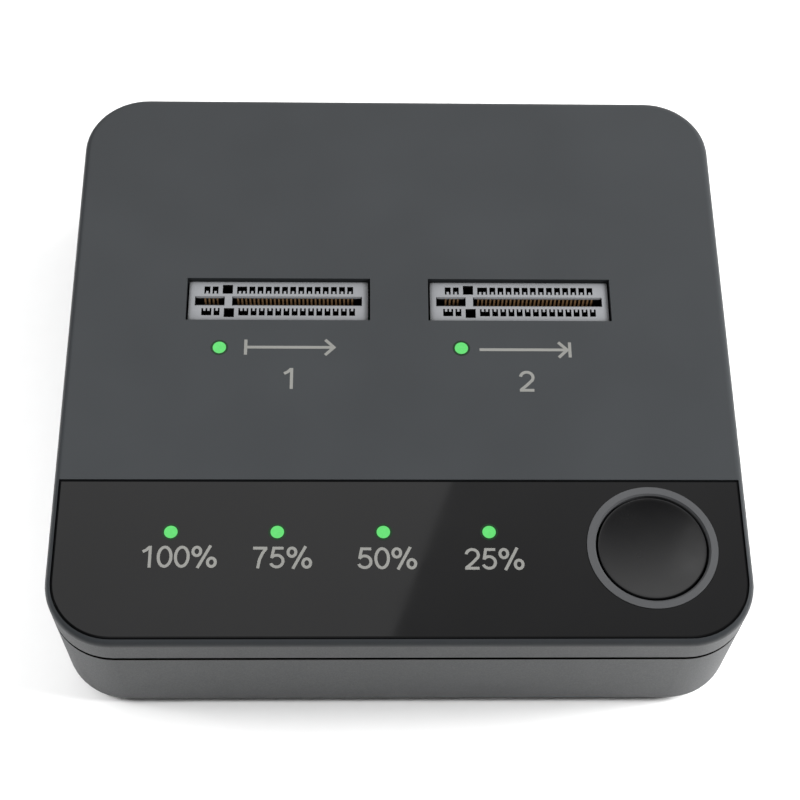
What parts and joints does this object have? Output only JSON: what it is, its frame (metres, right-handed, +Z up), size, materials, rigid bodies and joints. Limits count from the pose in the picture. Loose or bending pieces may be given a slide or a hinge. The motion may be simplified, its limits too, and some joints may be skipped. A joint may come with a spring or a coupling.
{
  "type": "drive duplicator dock",
  "caption": "Flat rounded cloning dock with upright edge sockets for bare solid state drives, a round push button and progress lamps on a gloss front panel.",
  "frame": {"origin": "on the standing plane, under the middle of the casing", "axes": "+Z up, +Y to the rear with the ports, +X to the right seen from the button side"},
  "size_m": [0.08, 0.075, 0.0201],
  "materials": {
    "casing_matt": "fine matt moulded plastic, dark grey",
    "panel_gloss": "polished black sheet",
    "glue_sheet": "double-sided adhesive",
    "ring_grey": "satin grey",
    "button_black": "satin black",
    "switch_black": "black moulding",
    "steel": "bright stamped steel",
    "tin": "tinned",
    "lamp": "translucent lamp",
    "light_guide": "clear moulding lit green",
    "baffle_black": "matt black",
    "socket_grey": "light grey glass-filled moulding",
    "contact_gold": "gold flash",
    "board_green": "solder mask",
    "chip_black": "moulded package",
    "crystal_can": "metal lid",
    "coil_grey": "pressed ferrite",
    "can_aluminium": "plain can",
    "ceramic_tan": "fired ceramic",
    "rubber_black": "matt rubber",
    "screw_black": "black zinc"
  },
  "bodies": {
    "housing": {"top_shell": "casing_matt", "bottom_shell": "casing_matt", "front_panel": "panel_gloss", "panel_adhesive": "glue_sheet", "button_ring": "ring_grey", "tact_switch_body": "switch_black", "tact_switch_cover": "steel", "tact_switch_legs": "tin", "progress_lamps": "lamp", "slot_lamps": "lamp", "progress_light_guide": "light_guide", "slot_light_pipes": "light_guide", "light_baffle": "baffle_black", "source_socket_housing": "socket_grey", "source_socket_contacts": "contact_gold", "source_socket_anchors": "tin", "target_socket_housing": "socket_grey", "target_socket_contacts": "contact_gold", "target_socket_anchors": "tin", "circuit_board": "board_green", "usb_c_shell": "steel", "usb_c_tongue": "switch_black", "usb_c_contacts": "contact_gold", "jack_body": "switch_black", "jack_pin": "tin", "jack_spring": "tin", "jack_tabs": "tin", "power_switch_body": "switch_black", "power_switch_bracket": "steel", "copy_controller": "chip_black", "drive_bridge_chips": "chip_black", "memory_chips": "chip_black", "memory_legs": "tin", "crystals": "crystal_can", "power_coils": "coil_grey", "capacitor_bases": "switch_black", "electrolytic_capacitors": "can_aluminium", "power_transistors": "chip_black", "ceramic_capacitors": "ceramic_tan", "rubber_feet": "rubber_black", "housing_screws": "screw_black"},
    "clone_button": {"button_cap": "button_black", "tact_switch_stem": "switch_black"},
    "power_button": {"power_button_cap": "button_black", "power_switch_plunger": "switch_black"}
  },
  "joints": [
    {"name": "clone_button_press", "type": "slide", "parent": "housing", "child": "clone_button", "axis": [0, 0, -1], "range_m": [0, 0.00035], "stiffness_N_per_m": 300, "springref_m": -0.003},
    {"name": "power_button_press", "type": "slide", "parent": "housing", "child": "power_button", "axis": [0, -1, 0], "range_m": [0, 0.0016], "stiffness_N_per_m": 200, "springref_m": -0.004}
  ]
}
